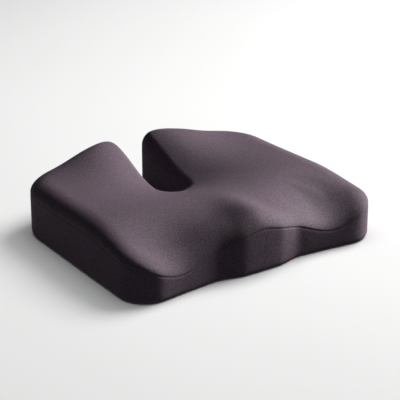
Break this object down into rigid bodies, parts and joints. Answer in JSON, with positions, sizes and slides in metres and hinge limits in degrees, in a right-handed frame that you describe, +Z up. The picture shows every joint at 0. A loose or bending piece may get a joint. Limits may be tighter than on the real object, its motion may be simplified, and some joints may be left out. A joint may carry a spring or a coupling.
{
  "type": "seat cushion",
  "caption": "Contoured foam seat cushion with thigh grooves, a pommel, a rear tailbone cutout and a zipped knit cover.",
  "frame": {"origin": "middle of the footprint, on the surface that the cushion rests on", "axes": "+Z up, +X to the sitter's right, -Y to the front with the thigh grooves, +Y to the rear with the cutout"},
  "size_m": [0.448, 0.3724, 0.1054],
  "materials": {
    "cover_knit": "fine knit, matte, dark aubergine",
    "grip_fabric": "black woven fabric with printed grip dots",
    "liner": "thin off-white knit",
    "foam": "moulded memory foam with a closed skin",
    "zip_tape": "woven polyester tape",
    "zip_nylon": "nylon coil",
    "zip_metal": "dark enamelled zinc",
    "label_satin": "white satin ribbon, blank"
  },
  "bodies": {
    "cushion": {"foam_core": "foam", "inner_liner": "liner", "top_panel": "cover_knit", "band_outer": "cover_knit", "band_cutout": "cover_knit", "zip_strip_upper": "cover_knit", "zip_strip_lower": "cover_knit", "zip_tab_front": "cover_knit", "zip_tab_rear": "cover_knit", "bottom_panel": "grip_fabric", "zip_tape_upper": "zip_tape", "zip_tape_lower": "zip_tape", "zip_chain_upper": "zip_nylon", "zip_chain_lower": "zip_nylon", "care_label": "label_satin"},
    "slider": {"zip_slider": "zip_metal"},
    "pull": {"zip_pull": "zip_metal"}
  },
  "joints": [
    {"name": "zip_slide", "type": "slide", "parent": "cushion", "child": "slider", "axis": [0.0307, -0.9995, 0], "range_m": [0, 0.1865]},
    {"name": "pull_hinge", "type": "hinge", "parent": "slider", "child": "pull", "pos_m": [0.22043, 0.07626, 0.03], "axis": [0, 0, 1], "range_deg": [0, 170]}
  ]
}
